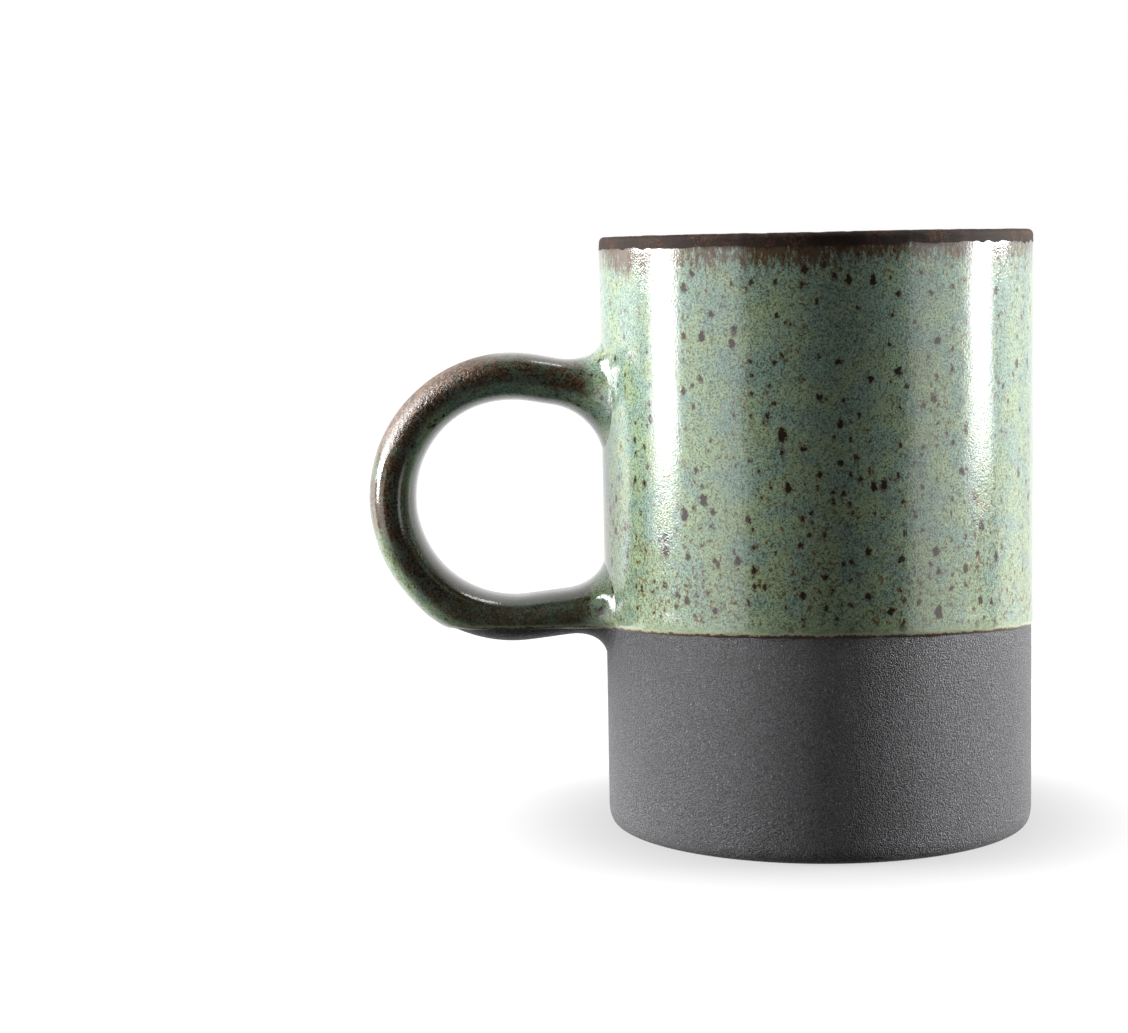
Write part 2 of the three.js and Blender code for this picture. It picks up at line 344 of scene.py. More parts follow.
def lining_profile():
    """The inside coat from the middle of the floor to the crest, and the point where it turns dry."""
    bore = BORE_RADIUS - LINING_THICKNESS
    floor = DISC_TOP + LINING_FLOOR_THICKNESS
    corner = 5.2
    lip_start = TOP - 2.2
    profile = [(r, floor) for r in np.linspace(0.6, bore - corner - 0.6, 40)]
    profile += arc((bore - corner, floor + corner), corner, corner, -90, 0, 14)
    profile += line((bore, floor + corner + 0.8), (bore, lip_start), 1.1)
    dry_point = len(profile)
    lip_width = CREST_RADIUS - 0.5 - bore
    profile += arc((CREST_RADIUS - 0.5, lip_start), lip_width, TOP - lip_start, 180, 90, 12)
    profile += [(CREST_RADIUS, TOP)]
    return profile, dry_point


def make_lining():
    """The inside coat: the lip's inner half, the bore, a hollow corner over the coil, and the floor."""
    profile, dry_point = lining_profile()
    grid = turn_grid(np.array(profile))
    floor = DISC_TOP + LINING_FLOOR_THICKNESS
    pool = 0.18 * rough(grid, 14.0, 12.1) * smooth_step(grid[..., 2], floor + 3, floor)
    grid[..., 2] += pool
    bore_part = smooth_step(grid[..., 2], floor + 1, floor + 6) * smooth_step(TOP - grid[..., 2], 0.0, 2.5)
    uneven = 0.08 * rough(grid, 17.0, 15.2) - 0.04
    grid += (bore_part * uneven)[..., None] * outward(grid)
    grid = lip_relief(grid)
    back = turn_grid(np.array([(CREST_RADIUS, TOP - 0.7), (BORE_RADIUS + 0.6, TOP - 2.4),
                               (BORE_RADIUS - 0.02, TOP - 4), (BORE_RADIUS - 0.02, COIL_TOP + 0.5),
                               (BORE_RADIUS - 4.0, DISC_TOP + 1.6), (BORE_RADIUS - 6.0, DISC_TOP + 0.1),
                               (1.0, DISC_TOP + 0.1)]))
    made = capped_solid("glaze_inside", np.concatenate([grid, back]))
    mark_rows(made, dry_point, len(profile))
    return made


# ---------------------------------------------------------------- the handle
def section(growth):
    """The strap's section as offsets along its thickness and its width, each side grown by its own amount."""
    angle = np.linspace(0, 2 * math.pi, SECTION_POINTS, endpoint=False)
    power = 2 / STRAP_SQUARENESS
    along = np.sign(np.cos(angle)) * np.abs(np.cos(angle)) ** power
    across = np.sign(np.sin(angle)) * np.abs(np.sin(angle)) ** power
    extra = np.where(along > 0, growth["outward"], growth["inward"])
    return (STRAP_HALF_THICKNESS + extra) * along, (STRAP_HALF_WIDTH + growth["sideways"]) * across


def ring_place(angle):
    """Centre and outward direction of the ring at an angle, as (distance out, height)."""
    out = RING_OUT + RING_HALF_WIDTH * math.cos(angle)
    height = RING_HEIGHT + RING_HALF_HEIGHT * math.sin(angle)
    normal = np.array([math.cos(angle) / RING_HALF_WIDTH, math.sin(angle) / RING_HALF_HEIGHT])
    return np.array([out, height]), normal / np.linalg.norm(normal)


def to_space(out, width, height):
    """Points in the mug's frame, where out from its axis is towards -X."""
    return np.stack([-out, width, height], axis=-1)


def arm_angle(joint):
    """Where on the ring a joint's straight arm leaves it."""
    side = 1 if joint is UPPER_JOINT else -1
    return side * math.radians(90 + joint["turn"])


def arm_ring(joint, from_wall, growth, wall_radius):
    """A ring of points across an arm, from_wall millimetres out along it from the wall's cylinder."""
    centre, normal = ring_place(arm_angle(joint))
    to_wall = np.array([-abs(normal[1]), math.copysign(normal[0], normal[1] * normal[0])])
    thickness, width = section(growth)
    wall_out = np.sqrt(wall_radius**2 - width**2)
    reach = (wall_out - centre[0] - normal[0] * thickness) / to_wall[0]
    middle = (wall_radius - centre[0]) / to_wall[0]
    along = reach * (1 - from_wall / middle)
    out = centre[0] + to_wall[0] * along + normal[0] * thickness
    height = centre[1] + to_wall[1] * along + normal[1] * thickness
    return to_space(out, width, height)


def flare(joint, lean):
    """Growth of the joint's fillet: lean runs from 90 degrees at the wall to 0 where it meets the strap."""
    fall = 1 - math.cos(lean)
    return {side: joint[side] * fall for side in ("outward", "inward", "sideways")}


def flared_rings(joint, wall_radius, steps=26):
    """Rings over the fillet, from the wall outwards."""
    rings = []
    for lean in np.radians(np.linspace(90, 0, steps)):
        from_wall = joint["length"] * (1 - math.sin(lean))
        rings.append(arm_ring(joint, from_wall, flare(joint, lean), wall_radius))
    return rings


NO_GROWTH = {"outward": 0.0, "inward": 0.0, "sideways": 0.0}


def plain_rings(joint, wall_radius, start, steps):
    """Rings over the plain strap, from start millimetres off the wall to just short of the ring."""
    centre, normal = ring_place(arm_angle(joint))
    length = (centre[0] - wall_radius) / abs(normal[1])
    places = [start + (length - start) * k / steps for k in range(1, steps)]
    return [arm_ring(joint, place, NO_GROWTH, wall_radius) for place in places]


def bend_rings():
    """Rings round the bend, from the upper arm over the outside to the lower one."""
    thickness, width = section(NO_GROWTH)
    rings = []
    for angle in np.linspace(arm_angle(UPPER_JOINT), arm_angle(LOWER_JOINT), 150):
        centre, normal = ring_place(angle)
        rings.append(to_space(centre[0] + normal[0] * thickness, width, centre[1] + normal[1] * thickness))
    return rings


def strap_grid(wall_radius, flared):
    """Every ring of the strap from the upper joint round to the lower one, with or without fillets."""
    ends = []
    for joint in (UPPER_JOINT, LOWER_JOINT):
        if flared:
            fillet = flared_rings(joint, wall_radius)
            ends.append(fillet + plain_rings(joint, wall_radius, joint["length"], 10))
        else:
            ends.append(plain_rings(joint, wall_radius, -0.3, 24))
    return np.array(ends[0] + bend_rings() + ends[1][::-1])


def strap_wobble(points):
    """Slow unevenness of the strap, pulled and bent by hand."""
    return 0.10 * rough(points, 16.0, 21.3) + 0.05 * rough(points, 6.0, 23.8) - 0.08


def make_strap():
    """The strap's clay, from wall to wall."""
    grid = strap_grid(CLAY_RADIUS - 0.3, False)
    grid += (strap_wobble(grid) + clay_grain(grid))[..., None] * grid_normals(grid)
    return capped_solid("handle_clay", grid)


def make_joint(joint, name):
    """The collar of clay round one end of the strap, feathered out onto the strap and the wall."""
    outer = np.array(flared_rings(joint, CLAY_RADIUS - 0.08))
    if joint is LOWER_JOINT:
        outer = outer[::-1]
    normals = grid_normals(outer)
    outer = outer + (strap_wobble(outer) + clay_grain(outer) + 0.02)[..., None] * normals
    inner = []
    for from_wall in np.linspace(-0.5, joint["length"] - 0.5, 6):
        shrink = {side: -0.6 for side in NO_GROWTH}
        inner.append(arm_ring(joint, from_wall, shrink, CLAY_RADIUS - 0.3))
    inner = np.array(inner if joint is LOWER_JOINT else inner[::-1])
    return ring_solid(name, np.concatenate([outer, inner]))


def make_handle_glaze():
    """The coat round the strap and its fillets, cut away below the dip line."""
    surface = strap_grid(CLAY_RADIUS - 0.08, True)
    normals = grid_normals(surface)
    above = above_dip(surface)
    clay = surface + strap_wobble(surface)[..., None] * normals
    end = np.minimum(np.arange(len(surface)), np.arange(len(surface))[::-1])[:, None]
    body = smooth_step(end, 0, 5)
    sag = 0.22 * hump(above, 1.5, 6.0) * smooth_step(-normals[..., 2], 0.1, 0.7) * smooth_step(above, 0, 1)
    thickness = (coat_thickness(above) + sag + 0.05 * smooth_step(above, 0, 1)) * (0.3 + 0.7 * body)
    outer = clay + thickness[..., None] * normals
    inner = surface - 0.45 * normals
    made = ring_solid("glaze_handle_coat", np.concatenate([outer, inner[::-1]]))
    cut_below_dip(made, 0.9)
    return made


def cut_below_dip(obj, depth):
    """Cuts a mesh flat at a depth below the dip line and closes the cut."""
    bm = bmesh.new()
    bm.from_mesh(obj.data)
    normal = Vector((-DIP_SLOPE[0], -DIP_SLOPE[1], 1.0)).normalized()
    at = Vector((0, 0, (DIP_HEIGHT - depth) * MM))
    everything = bm.verts[:] + bm.edges[:] + bm.faces[:]
    done = bmesh.ops.bisect_plane(bm, geom=everything, plane_co=at, plane_no=normal, clear_inner=True)
    cut = [e for e in done["geom_cut"] if isinstance(e, bmesh.types.BMEdge)]
    bmesh.ops.triangle_fill(bm, use_beauty=True, use_dissolve=False, edges=cut, normal=-normal)
    bm.normal_update()
    bm.to_mesh(obj.data)
    bm.free()
    obj.data.set_sharp_from_angle(angle=SHARP_ANGLE)


# ---------------------------------------------------------------- material helpers
class NodeTree:
    """A node tree, with short calls for the nodes that materials and the room are made of."""

    def __init__(self, node_tree):
        self.nodes = node_tree.nodes
        self.links = node_tree.links
        self.nodes.clear()

    def put(self, socket, value):
        """Links a socket, or sets its value if it is given a number or a colour."""
        if isinstance(value, bpy.types.NodeSocket):
            self.links.new(value, socket)
        elif isinstance(value, tuple) and len(value) == 3 and socket.type == "RGBA":
            socket.default_value = (*value, 1.0)
        else:
            socket.default_value = value

    def math(self, operation, a, b=0.0, c=0.0):
        node = self.nodes.new("ShaderNodeMath")
        node.operation = operation
        for socket, value in zip(node.inputs, (a, b, c)):
            self.put(socket, value)
        return node.outputs[0]

    def vector(self, operation, a, b):
        node = self.nodes.new("ShaderNodeVectorMath")
        node.operation = operation
        self.put(node.inputs[0], a)
        if operation == "SCALE":
            self.put(node.inputs["Scale"], b)
            return node.outputs[0]
        self.put(node.inputs[1], b)
        return node.outputs["Value"] if operation == "DOT_PRODUCT" else node.outputs[0]

    def length(self, value):
        node = self.nodes.new("ShaderNodeVectorMath")
        node.operation = "LENGTH"
        self.put(node.inputs[0], value)
        return node.outputs["Value"]

    def noise(self, place, size, detail=2.0, roughness=0.5):
        """Noise from 0 to 1 with features about size millimetres across."""
        node = self.nodes.new("ShaderNodeTexNoise")
        node.noise_dimensions = "3D"
        self.put(node.inputs["Vector"], place)
        node.inputs["Scale"].default_value = 1 / size
        node.inputs["Detail"].default_value = detail
        node.inputs["Roughness"].default_value = roughness
        return node

    def cells(self, place, size):
        """One random point in each cell, about size millimetres apart."""
        node = self.nodes.new("ShaderNodeTexVoronoi")
        self.put(node.inputs["Vector"], place)
        node.inputs["Scale"].default_value = 1 / size
        return node

    def step(self, value, low, high):
        """0 at low and 1 at high, smooth between them; low may be the larger."""
        node = self.nodes.new("ShaderNodeMapRange")
        node.interpolation_type = "SMOOTHSTEP"
        flipped = isinstance(low, float) and isinstance(high, float) and low > high
        ends = (high, low) if flipped else (low, high)
        self.put(node.inputs["Value"], value)
        self.put(node.inputs["From Min"], ends[0])
        self.put(node.inputs["From Max"], ends[1])
        self.put(node.inputs["To Min"], 1.0 if flipped else 0.0)
        self.put(node.inputs["To Max"], 0.0 if flipped else 1.0)
        return node.outputs[0]

    def mix(self, share, a, b):
        """A colour between a and b."""
        node = self.nodes.new("ShaderNodeMix")
        node.data_type = "RGBA"
        self.put(node.inputs["Factor"], share)
        self.put(node.inputs[6], a)
        self.put(node.inputs[7], b)
        return node.outputs[2]

    def blend(self, share, a, b):
        """A number between a and b."""
        node = self.nodes.new("ShaderNodeMix")
        node.data_type = "FLOAT"
        self.put(node.inputs["Factor"], share)
        self.put(node.inputs[2], a)
        self.put(node.inputs[3], b)
        return node.outputs[0]

    def times(self, *values):
        result = values[0]
        for value in values[1:]:
            result = self.math("MULTIPLY", result, value)
        return result

    def either(self, *values):
        result = values[0]
        for value in values[1:]:
            result = self.math("MAXIMUM", result, value)
        return result

    def inverse(self, value):
        return self.math("SUBTRACT", 1.0, value)

    def bump(self, height, millimetres, strength=1.0, under=None):
        node = self.nodes.new("ShaderNodeBump")
        node.inputs["Distance"].default_value = millimetres * MM
        node.inputs["Strength"].default_value = strength
        self.put(node.inputs["Height"], height)
        if under is not None:
            self.put(node.inputs["Normal"], under)
        return node.outputs[0]


class MaterialTree(NodeTree):
    """A material's node tree. Its place is the point on the surface in millimetres."""

    def __init__(self, name):
        self.material = bpy.data.materials.new(name)
        self.material.use_nodes = True
        super().__init__(self.material.node_tree)
        self.shader = self.nodes.new("ShaderNodeBsdfPrincipled")
        output = self.nodes.new("ShaderNodeOutputMaterial")
        self.put(output.inputs[0], self.shader.outputs[0])
        coordinates = self.nodes.new("ShaderNodeTexCoord")
        self.place = self.vector("SCALE", coordinates.outputs["Object"], 1 / MM)


def height_above_dip(tree):
    """Millimetres above the wavering edge of the glaze, and far above it anywhere inside the mug."""
    flat = tree.vector("DOT_PRODUCT", tree.place, (-DIP_SLOPE[0], -DIP_SLOPE[1], 1.0))
    waver = tree.math("MULTIPLY_ADD", tree.noise(tree.place, 1.6).outputs[0], 0.9, -DIP_HEIGHT - 0.45)
    radius = tree.length(tree.vector("MULTIPLY", tree.place, (1.0, 1.0, 0.0)))
    inside = tree.step(radius, float(BORE_RADIUS) + 2.5, float(BORE_RADIUS) + 1.0)
    return tree.math("MULTIPLY_ADD", inside, 100.0, tree.math("ADD", flat, waver))


def depth_below_lip(tree):
    """Millimetres below the highest level of the lip."""
    split = tree.nodes.new("ShaderNodeSeparateXYZ")
    tree.put(split.inputs[0], tree.place)
    return tree.math("SUBTRACT", TOP, split.outputs["Z"])


def spots(tree, place, size, smallest, largest, share, edge):
    """Spots in about share of the cells, some long and upright: each spot, and a halo a little wider."""
    cells = tree.cells(place, size)
    random = tree.nodes.new("ShaderNodeSeparateColor")
    tree.put(random.inputs[0], cells.outputs["Color"])
    offset = tree.nodes.new("ShaderNodeSeparateXYZ")
    tree.put(offset.inputs[0], tree.vector("SUBTRACT", place, cells.outputs["Position"]))
    # A spot narrows towards its upper end, and the share of its height that it keeps is its own.
    taper = tree.math("MULTIPLY_ADD", offset.outputs["Z"], 0.18 / largest, 1.0)
    flatten = tree.math("MULTIPLY_ADD", random.outputs[2], -0.45, 1.0)
    shape = tree.nodes.new("ShaderNodeCombineXYZ")
    tree.put(shape.inputs[0], tree.times(offset.outputs["X"], taper))
    tree.put(shape.inputs[1], tree.times(offset.outputs["Y"], taper))
    tree.put(shape.inputs[2], tree.times(offset.outputs["Z"], flatten))
    distance = tree.length(shape.outputs[0])
    chosen = tree.math("GREATER_THAN", random.outputs[0], tree.inverse(share))
    radius = tree.math("MULTIPLY_ADD", random.outputs[1], largest - smallest, smallest)
    inside = tree.math("SUBTRACT", radius, distance)
    core = tree.times(tree.step(inside, -edge, edge), chosen)
    halo = tree.times(tree.step(inside, -edge - 0.35, 0.1), chosen)
    return core, halo


# ---------------------------------------------------------------- glaze
YELLOW_GREEN = (0.191, 0.255, 0.152)
BLUE_GREEN = (0.140, 0.216, 0.186)
PALE_FLECK = (0.335, 0.390, 0.235)
DEEP_GREEN = (0.036, 0.052, 0.036)
AMBER = (0.092, 0.044, 0.008)
IRON = (0.012, 0.006, 0.003)
RUST = (0.056, 0.022, 0.0060)
DRY_BROWN = (0.017, 0.0100, 0.0072)
DRY_RUST = (0.075, 0.032, 0.016)
EDGE_CREAM = (0.360, 0.345, 0.235)
EDGE_BROWN = (0.050, 0.018, 0.009)
HANDLE_DARK = (0.016, 0.011, 0.007)
HANDLE_BROWN = (0.085, 0.047, 0.020)
HANDLE_GREEN = (0.082, 0.108, 0.078)
HANDLE_RUST = (0.130, 0.064, 0.028)


def green_ground(tree, height):
    """The glaze before its spots: soft patches, bluer towards the lip, under a fine dark and pale grain."""
    slow = tree.noise(tree.place, 5.0, 2.0, 0.55).outputs[0]
    fine = tree.noise(tree.place, 0.34, 2.0, 0.70).outputs[0]
    slow = tree.math("MULTIPLY_ADD", tree.math("SUBTRACT", height, 72.0), 0.0020, slow)
    slow = tree.math("MULTIPLY_ADD", tree.math("SUBTRACT", fine, 0.5), -0.45, slow)
    ground = tree.mix(tree.step(slow, 0.34, 0.66), YELLOW_GREEN, BLUE_GREEN)
    ground = tree.mix(tree.times(tree.step(fine, 0.49, 0.36), 0.85), ground, DEEP_GREEN)
    ground = tree.mix(tree.times(tree.step(fine, 0.53, 0.64), 0.55), ground, PALE_FLECK)
    middle = tree.noise(tree.vector("ADD", tree.place, (17.0, 3.0, 29.0)), 1.2, 2.0, 0.6).outputs[0]
    return tree.mix(tree.times(tree.step(middle, 0.48, 0.30), 0.35), ground, DEEP_GREEN)


def amber_flecks(tree, color, crowd):
    """Adds small amber flecks, more of them where crowd is high."""
    fleck = tree.noise(tree.vector("MULTIPLY", tree.place, (1.0, 1.0, 0.8)), 0.70, 2.0, 0.55).outputs[0]
    level = tree.math("MULTIPLY_ADD", crowd, -0.085, 0.680)
    flecked = tree.step(tree.math("SUBTRACT", fleck, level), -0.03, 0.05)
    return tree.mix(tree.times(flecked, 0.85), color, AMBER)


def crowding(tree, height, depth):
    """How dense the flecks and spots are: more in patches, low on the body and just below the lip."""
    low = tree.step(height, 72.0, 50.0)
    near_lip = tree.step(depth, 10.0, 3.5)
    patches = tree.step(tree.noise(tree.place, 13.0, 2.0).outputs[0], 0.42, 0.62)
    crowd = tree.math("MULTIPLY_ADD", patches, 0.55, tree.math("MULTIPLY", low, 0.55))
    return tree.math("MULTIPLY_ADD", near_lip, 0.8, crowd)


def iron_spots(tree, color, crowd):
    """Adds iron spots of two sizes with amber haloes, soft at the edge, on coordinates bent by noise."""
    bend = tree.vector("SCALE", tree.noise(tree.place, 0.60, 2.0, 0.6).outputs["Color"], 1.2)
    bent = tree.vector("ADD", tree.place, bend)
    elsewhere = tree.vector("ADD", bent, (5.0, 9.0, 2.0))
    small_share = tree.math("MULTIPLY_ADD", crowd, 0.40, 0.22)
    small, small_halo = spots(tree, bent, 1.4, 0.05, 0.38, small_share, 0.08)
    large, large_halo = spots(tree, elsewhere, 2.9, 0.25, 0.74, 0.55, 0.09)
    color = tree.mix(tree.times(tree.either(small_halo, large_halo), 0.55), color, AMBER)
    color = tree.mix(tree.times(small, 0.88), color, IRON)
    return tree.mix(tree.times(large, 0.96), color, IRON)


def dip_edge(tree, color, above):
    """The thick roll above the edge is clear of spots, and the very edge is cream and then brown."""
    color = tree.mix(tree.times(tree.step(above, 2.4, 1.2), 0.50), color, YELLOW_GREEN)
    crumbs = tree.noise(tree.place, 0.45, 2.0, 0.6).outputs[0]
    ragged = tree.math("MULTIPLY_ADD", tree.math("SUBTRACT", crumbs, 0.5), 1.0, above)
    color = tree.mix(tree.times(tree.step(ragged, 1.05, 0.75), 0.60), color, EDGE_CREAM)
    return tree.mix(tree.times(tree.step(ragged, 0.46, 0.30), 0.92), color, EDGE_BROWN)


def lip_rust(tree, color, depth):
    """The glaze thins to streaks of rust and then dry brown. Also gives the depth that the brown ends by."""
    streaks = tree.noise(tree.vector("MULTIPLY", tree.place, (1.0, 1.0, 0.30)), 0.60, 3.0, 0.7).outputs[0]
    streaks = tree.math("SUBTRACT", streaks, 0.5)
    broad = tree.math("SUBTRACT", tree.noise(tree.place, 16.0, 1.0).outputs[0], 0.5)
    rust_depth = tree.math("MULTIPLY_ADD", streaks, 15.0, depth)
    rust_depth = tree.math("MULTIPLY_ADD", broad, 8.0, rust_depth)
    color = tree.mix(tree.times(tree.step(rust_depth, 6.6, 3.0), 0.88), color, RUST)
    dry_depth_here = tree.math("MULTIPLY_ADD", streaks, 2.4, depth)
    return tree.mix(tree.step(dry_depth_here, 3.1, 2.0), color, DRY_BROWN), dry_depth_here


def glaze_normal(tree, worn):
    """Slow waves and a fine skin everywhere, and pits where the handle's coat is worn."""
    waves = tree.noise(tree.place, 3.2, 2.0).outputs[0]
    skin = tree.noise(tree.place, 0.34, 1.0, 0.5).outputs[0]
    pitted = tree.times(tree.noise(tree.place, 0.5, 2.0, 0.6).outputs[0], worn)
    normal = tree.bump(waves, 0.030)
    normal = tree.bump(skin, 0.024, 1.0, normal)
    return tree.bump(pitted, 0.16, 1.0, normal)


def glaze_material():
    tree = MaterialTree("speckled_green_glaze")
    above = height_above_dip(tree)
    depth = depth_below_lip(tree)
    height = tree.math("SUBTRACT", TOP, depth)
    on_handle = handle_share(tree)
    worn_bend = handle_wear(tree)
    worn = tree.times(worn_bend, on_handle)

    crowd = crowding(tree, height, depth)
    color = amber_flecks(tree, green_ground(tree, height), crowd)
    color = iron_spots(tree, color, crowd)
    color = dip_edge(tree, color, above)
    color = tree.mix(on_handle, color, handle_color(tree, color, above, worn_bend))
    color, dry_depth_here = lip_rust(tree, color, depth)
    tree.put(tree.shader.inputs["Base Color"], color)

    # Glossy, and rougher at the raw lower edge, on the worn bend and just below the dry lip.
    uneven = tree.noise(tree.place, 0.9, 2.0, 0.6).outputs[0]
    gloss = tree.math("MULTIPLY_ADD", uneven, 0.05, 0.065)
    gloss = tree.blend(tree.step(above, 0.5, 0.2), gloss, 0.40)
    gloss = tree.blend(worn, gloss, 0.46)
    gloss = tree.blend(tree.step(dry_depth_here, 3.4, 2.6), gloss, 0.16)
    tree.put(tree.shader.inputs["Roughness"], gloss)
    tree.shader.inputs["IOR"].default_value = 1.56
    tree.put(tree.shader.inputs["Normal"], glaze_normal(tree, worn))
    return tree.material


def dry_lip_material():
    """The lip's top, where the glaze has run off and left a dry brown skin with no shine."""
    tree = MaterialTree("dry_brown_lip")
    crust = tree.noise(tree.place, 0.40, 3.0, 0.7).outputs[0]
    broad = tree.noise(tree.place, 4.0, 2.0).outputs[0]
    rusty = tree.times(tree.step(crust, 0.45, 0.65), tree.step(broad, 0.45, 0.65))
    tree.put(tree.shader.inputs["Base Color"], tree.mix(rusty, DRY_BROWN, DRY_RUST))
    tree.shader.inputs["Roughness"].default_value = 0.75
    tree.shader.inputs["IOR"].default_value = 1.22
    tree.put(tree.shader.inputs["Normal"], tree.bump(crust, 0.10))
    return tree.material


def handle_share(tree):
    """1 on the handle beyond its fillets, 0 on the body."""
    radial = tree.vector("MULTIPLY", tree.place, (1.0, 1.0, 0.0))
    waver = tree.math("MULTIPLY_ADD", tree.noise(tree.place, 1.2).outputs[0], 2.6, -1.3)
    reach = tree.math("ADD", tree.length(radial), waver)
    return tree.step(reach, CLAY_RADIUS + 2.6, CLAY_RADIUS + 5.2)


def handle_wear(tree):
    """1 where the coat is thin and dry: the outer side of the bend above its middle."""
    from_centre = tree.vector("ADD", tree.place, (RING_OUT, 0.0, -RING_HEIGHT))
    offset = tree.nodes.new("ShaderNodeSeparateXYZ")
    tree.put(offset.inputs[0], from_centre)
    around = tree.math("ARCTAN2", offset.outputs["Z"], tree.math("MULTIPLY", offset.outputs["X"], -1.0))
    reach = tree.length(tree.vector("MULTIPLY", from_centre, (1.0, 0.0, 1.0)))
    ragged = tree.math("MULTIPLY_ADD", tree.noise(tree.place, 0.8, 3.0, 0.7).outputs[0], 9.0, -4.5)
    outer = tree.step(tree.math("ADD", reach, ragged), RING_HALF_WIDTH - 0.6, RING_HALF_WIDTH + 2.8)
    upper = tree.times(tree.step(around, 0.26, 0.50), tree.step(around, 1.62, 1.25))
    return tree.times(outer, upper)


def handle_color(tree, green, above, worn):
    """The handle's coat is thin, so iron shows through: brown above and at the sides, green underneath."""
    geometry = tree.nodes.new("ShaderNodeNewGeometry")
    facing = tree.nodes.new("ShaderNodeSeparateXYZ")
    tree.put(facing.inputs[0], geometry.outputs["Normal"])
    grain = tree.noise(tree.place, 0.46, 2.0, 0.65).outputs[0]
    brown = tree.mix(tree.step(grain, 0.38, 0.54), HANDLE_DARK, HANDLE_BROWN)
    slow = tree.noise(tree.place, 4.0, 2.0, 0.6).outputs[0]
    mottled = tree.math("MULTIPLY_ADD", tree.math("SUBTRACT", grain, 0.5), 0.9, slow)
    brown = tree.mix(tree.times(tree.step(mottled, 0.48, 0.60), 0.85), brown, HANDLE_GREEN)
    crust = tree.noise(tree.place, 0.66, 2.0, 0.65).outputs[0]
    rust = tree.mix(tree.step(crust, 0.45, 0.56), HANDLE_DARK, HANDLE_RUST)
    brown = tree.mix(worn, brown, rust)
    thick = tree.step(facing.outputs["Z"], 0.0, -0.40)
    low = tree.times(tree.step(above, 9.0, 4.0), 0.20)
    return tree.mix(tree.either(thick, low), brown, green)


# ---------------------------------------------------------------- clay
CLAY_DARK = (0.0045, 0.0044, 0.0050)
CLAY_LIGHT = (0.084, 0.083, 0.091)
CLAY_PATCH = (0.024, 0.0235, 0.0245)
CLAY_PALE_POINT = (0.26, 0.255, 0.25)
CLAY_PIT_SHADE = (0.006, 0.0055, 0.0055)


def clay_material():
    tree = MaterialTree("dark_bare_stoneware")
    grain = tree.noise(tree.place, 0.23, 2.0, 0.6).outputs[0]
    patches = tree.noise(tree.place, 11.0, 3.0).outputs[0]
    color = tree.mix(tree.step(grain, 0.42, 0.60), CLAY_DARK, CLAY_LIGHT)
    color = tree.mix(tree.times(tree.step(patches, 0.40, 0.70), 0.30), color, CLAY_PATCH)
    pale, _ = spots(tree, tree.place, 0.62, 0.02, 0.12, 0.55, 0.04)
    color = tree.mix(tree.times(pale, 0.70), color, CLAY_PALE_POINT)
    # Sunken pits, dimpled by the bump below and filled with near-black colour: painted shade in the pits.
    pits, _ = spots(tree, tree.vector("ADD", tree.place, (3.0, 5.0, 1.0)), 3.4, 0.05, 0.26, 0.5, 0.06)
    color = tree.mix(pits, color, CLAY_PIT_SHADE)
    tree.put(tree.shader.inputs["Base Color"], color)
    tree.put(tree.shader.inputs["Roughness"], tree.math("MULTIPLY_ADD", grain, -0.35, 0.68))
    tree.shader.inputs["IOR"].default_value = 1.50
    coarse = tree.noise(tree.place, 0.70, 2.0, 0.6).outputs[0]
    normal = tree.bump(coarse, 0.14)
    normal = tree.bump(grain, 0.36, 1.0, normal)
    normal = tree.bump(pits, -0.10, 1.0, normal)
    tree.put(tree.shader.inputs["Normal"], normal)
    return tree.material


# ---------------------------------------------------------------- the pieces and their frame
def finish_piece(obj, material, slot, *nodes):
    """Gives a piece its material, parents it to the root body and hides the CAD nodes it stands for; slot is
    not used.
    """
    obj.data.materials.append(material)
    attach(obj, "root")
    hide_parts(*nodes)


glaze = glaze_material()
clay = clay_material()
finish_piece(make_wall(), clay, "bare_clay", "wall")
finish_piece(make_base(), clay, "bare_clay", "base_disc")
finish_piece(make_strap(), clay, "bare_clay", "handle")
finish_piece(make_joint(UPPER_JOINT, "joint_upper_clay"), clay, "bare_clay", "handle_joint_upper")
finish_piece(make_joint(LOWER_JOINT, "joint_lower_clay"), clay, "bare_clay", "handle_joint_lower")
outer_glaze = make_outer_glaze()
lining = make_lining()
finish_piece(outer_glaze, glaze, "glaze", "glaze_exterior")
finish_piece(lining, glaze, "glaze", "glaze_interior")
finish_piece(make_handle_glaze(), glaze, "glaze", "glaze_handle")

# The dry skin of the lip is the second material of both body coats, on the faces that mark_rows picked.
dry_lip = dry_lip_material()
outer_glaze.data.materials.append(dry_lip)
lining.data.materials.append(dry_lip)

# The coil in the inside corner is wholly covered, so its CAD node stays, in the same clay.
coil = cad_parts["floor_coil"]
coil.data.materials.clear()
coil.data.materials.append(clay)


# ---------------------------------------------------------------- floor, light and camera
FLOOR_TINTS = ((0.060, 0.060, 0.060), (0.065, 0.065, 0.064))


